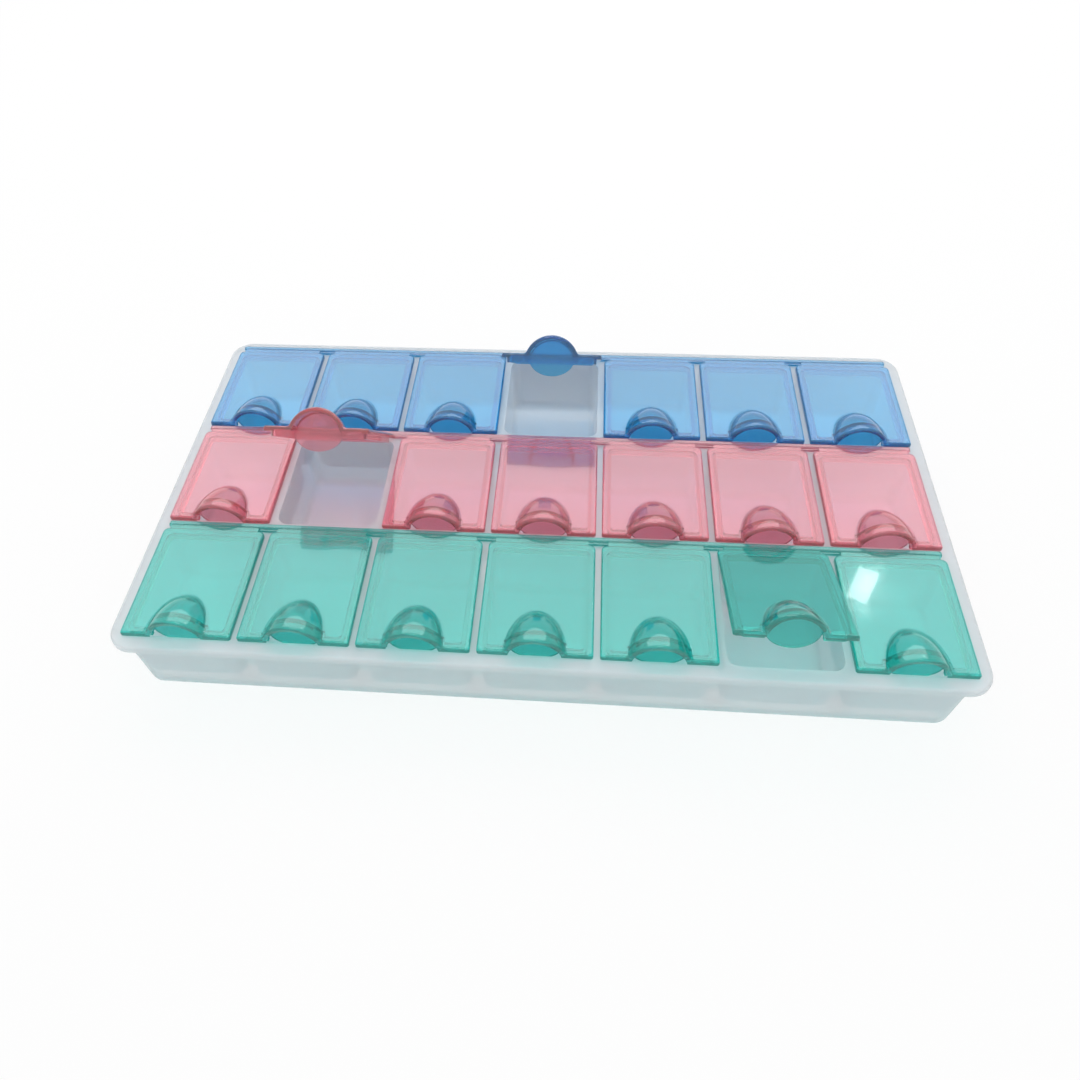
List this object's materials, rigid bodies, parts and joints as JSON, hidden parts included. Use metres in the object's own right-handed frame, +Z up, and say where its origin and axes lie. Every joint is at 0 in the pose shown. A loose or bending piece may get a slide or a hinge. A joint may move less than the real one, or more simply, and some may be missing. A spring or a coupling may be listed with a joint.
{
  "type": "bead organizer tray",
  "caption": "Flat frosted storage tray of equal cells in three rows, each cell closed by its own coloured translucent flip lid with a raised finger hood; each row's lids hinge on one rail.",
  "frame": {"origin": "middle of the tray's underside, on the plane that the tray stands on", "axes": "+X along a row of lids, to the right for the person who lifts them; +Y from the front edge, where the finger hoods face, to the back; +Z up"},
  "size_m": [0.2224, 0.1256, 0.0543],
  "materials": {
    "frosted_tray": "frosted colourless polypropylene, lightly milky, satin outside",
    "green_plastic": "glossy see-through blue-green polypropylene",
    "pink_plastic": "glossy see-through coral pink polypropylene",
    "blue_plastic": "glossy see-through sky blue polypropylene"
  },
  "bodies": {
    "tray": {"tray": "frosted_tray", "green_hinge_rail": "green_plastic", "pink_hinge_rail": "pink_plastic", "blue_hinge_rail": "blue_plastic"},
    "green_lid_1": {"green_lid_1": "green_plastic"},
    "green_lid_2": {"green_lid_2": "green_plastic"},
    "green_lid_3": {"green_lid_3": "green_plastic"},
    "green_lid_4": {"green_lid_4": "green_plastic"},
    "green_lid_5": {"green_lid_5": "green_plastic"},
    "green_lid_6": {"green_lid_6": "green_plastic"},
    "green_lid_7": {"green_lid_7": "green_plastic"},
    "pink_lid_1": {"pink_lid_1": "pink_plastic"},
    "pink_lid_2": {"pink_lid_2": "pink_plastic"},
    "pink_lid_3": {"pink_lid_3": "pink_plastic"},
    "pink_lid_4": {"pink_lid_4": "pink_plastic"},
    "pink_lid_5": {"pink_lid_5": "pink_plastic"},
    "pink_lid_6": {"pink_lid_6": "pink_plastic"},
    "pink_lid_7": {"pink_lid_7": "pink_plastic"},
    "blue_lid_1": {"blue_lid_1": "blue_plastic"},
    "blue_lid_2": {"blue_lid_2": "blue_plastic"},
    "blue_lid_3": {"blue_lid_3": "blue_plastic"},
    "blue_lid_4": {"blue_lid_4": "blue_plastic"},
    "blue_lid_5": {"blue_lid_5": "blue_plastic"},
    "blue_lid_6": {"blue_lid_6": "blue_plastic"},
    "blue_lid_7": {"blue_lid_7": "blue_plastic"}
  },
  "joints": [
    {"name": "green_lid_1_hinge", "type": "hinge", "parent": "tray", "child": "green_lid_1", "pos_m": [-0.093, -0.0221, 0.02412], "axis": [-1, 0, 0], "range_deg": [0, 115]},
    {"name": "green_lid_2_hinge", "type": "hinge", "parent": "tray", "child": "green_lid_2", "pos_m": [-0.062, -0.0221, 0.02412], "axis": [-1, 0, 0], "range_deg": [0, 110]},
    {"name": "green_lid_3_hinge", "type": "hinge", "parent": "tray", "child": "green_lid_3", "pos_m": [-0.031, -0.0221, 0.02412], "axis": [-1, 0, 0], "range_deg": [0, 115]},
    {"name": "green_lid_4_hinge", "type": "hinge", "parent": "tray", "child": "green_lid_4", "pos_m": [0, -0.0221, 0.02412], "axis": [-1, 0, 0], "range_deg": [0, 115]},
    {"name": "green_lid_5_hinge", "type": "hinge", "parent": "tray", "child": "green_lid_5", "pos_m": [0.031, -0.0221, 0.02412], "axis": [-1, 0, 0], "range_deg": [0, 115]},
    {"name": "green_lid_6_hinge", "type": "hinge", "parent": "tray", "child": "green_lid_6", "pos_m": [0.062, -0.0221, 0.02412], "axis": [-1, 0, 0], "range_deg": [-18, 97]},
    {"name": "green_lid_7_hinge", "type": "hinge", "parent": "tray", "child": "green_lid_7", "pos_m": [0.093, -0.0221, 0.02412], "axis": [-1, 0, 0], "range_deg": [0, 115]},
    {"name": "pink_lid_1_hinge", "type": "hinge", "parent": "tray", "child": "pink_lid_1", "pos_m": [-0.093, 0.0177, 0.02412], "axis": [-1, 0, 0], "range_deg": [0, 115]},
    {"name": "pink_lid_2_hinge", "type": "hinge", "parent": "tray", "child": "pink_lid_2", "pos_m": [-0.062, 0.0177, 0.02412], "axis": [-1, 0, 0], "range_deg": [-46, 69]},
    {"name": "pink_lid_3_hinge", "type": "hinge", "parent": "tray", "child": "pink_lid_3", "pos_m": [-0.031, 0.0177, 0.02412], "axis": [-1, 0, 0], "range_deg": [0, 115]},
    {"name": "pink_lid_4_hinge", "type": "hinge", "parent": "tray", "child": "pink_lid_4", "pos_m": [0, 0.0177, 0.02412], "axis": [-1, 0, 0], "range_deg": [0, 108]},
    {"name": "pink_lid_5_hinge", "type": "hinge", "parent": "tray", "child": "pink_lid_5", "pos_m": [0.031, 0.0177, 0.02412], "axis": [-1, 0, 0], "range_deg": [0, 115]},
    {"name": "pink_lid_6_hinge", "type": "hinge", "parent": "tray", "child": "pink_lid_6", "pos_m": [0.062, 0.0177, 0.02412], "axis": [-1, 0, 0], "range_deg": [0, 115]},
    {"name": "pink_lid_7_hinge", "type": "hinge", "parent": "tray", "child": "pink_lid_7", "pos_m": [0.093, 0.0177, 0.02412], "axis": [-1, 0, 0], "range_deg": [0, 115]},
    {"name": "blue_lid_1_hinge", "type": "hinge", "parent": "tray", "child": "blue_lid_1", "pos_m": [-0.093, 0.0575, 0.02412], "axis": [-1, 0, 0], "range_deg": [0, 150]},
    {"name": "blue_lid_2_hinge", "type": "hinge", "parent": "tray", "child": "blue_lid_2", "pos_m": [-0.062, 0.0575, 0.02412], "axis": [-1, 0, 0], "range_deg": [0, 150]},
    {"name": "blue_lid_3_hinge", "type": "hinge", "parent": "tray", "child": "blue_lid_3", "pos_m": [-0.031, 0.0575, 0.02412], "axis": [-1, 0, 0], "range_deg": [0, 150]},
    {"name": "blue_lid_4_hinge", "type": "hinge", "parent": "tray", "child": "blue_lid_4", "pos_m": [0, 0.0575, 0.02412], "axis": [-1, 0, 0], "range_deg": [-40, 110]},
    {"name": "blue_lid_5_hinge", "type": "hinge", "parent": "tray", "child": "blue_lid_5", "pos_m": [0.031, 0.0575, 0.02412], "axis": [-1, 0, 0], "range_deg": [0, 150]},
    {"name": "blue_lid_6_hinge", "type": "hinge", "parent": "tray", "child": "blue_lid_6", "pos_m": [0.062, 0.0575, 0.02412], "axis": [-1, 0, 0], "range_deg": [0, 150]},
    {"name": "blue_lid_7_hinge", "type": "hinge", "parent": "tray", "child": "blue_lid_7", "pos_m": [0.093, 0.0575, 0.02412], "axis": [-1, 0, 0], "range_deg": [0, 150]}
  ]
}
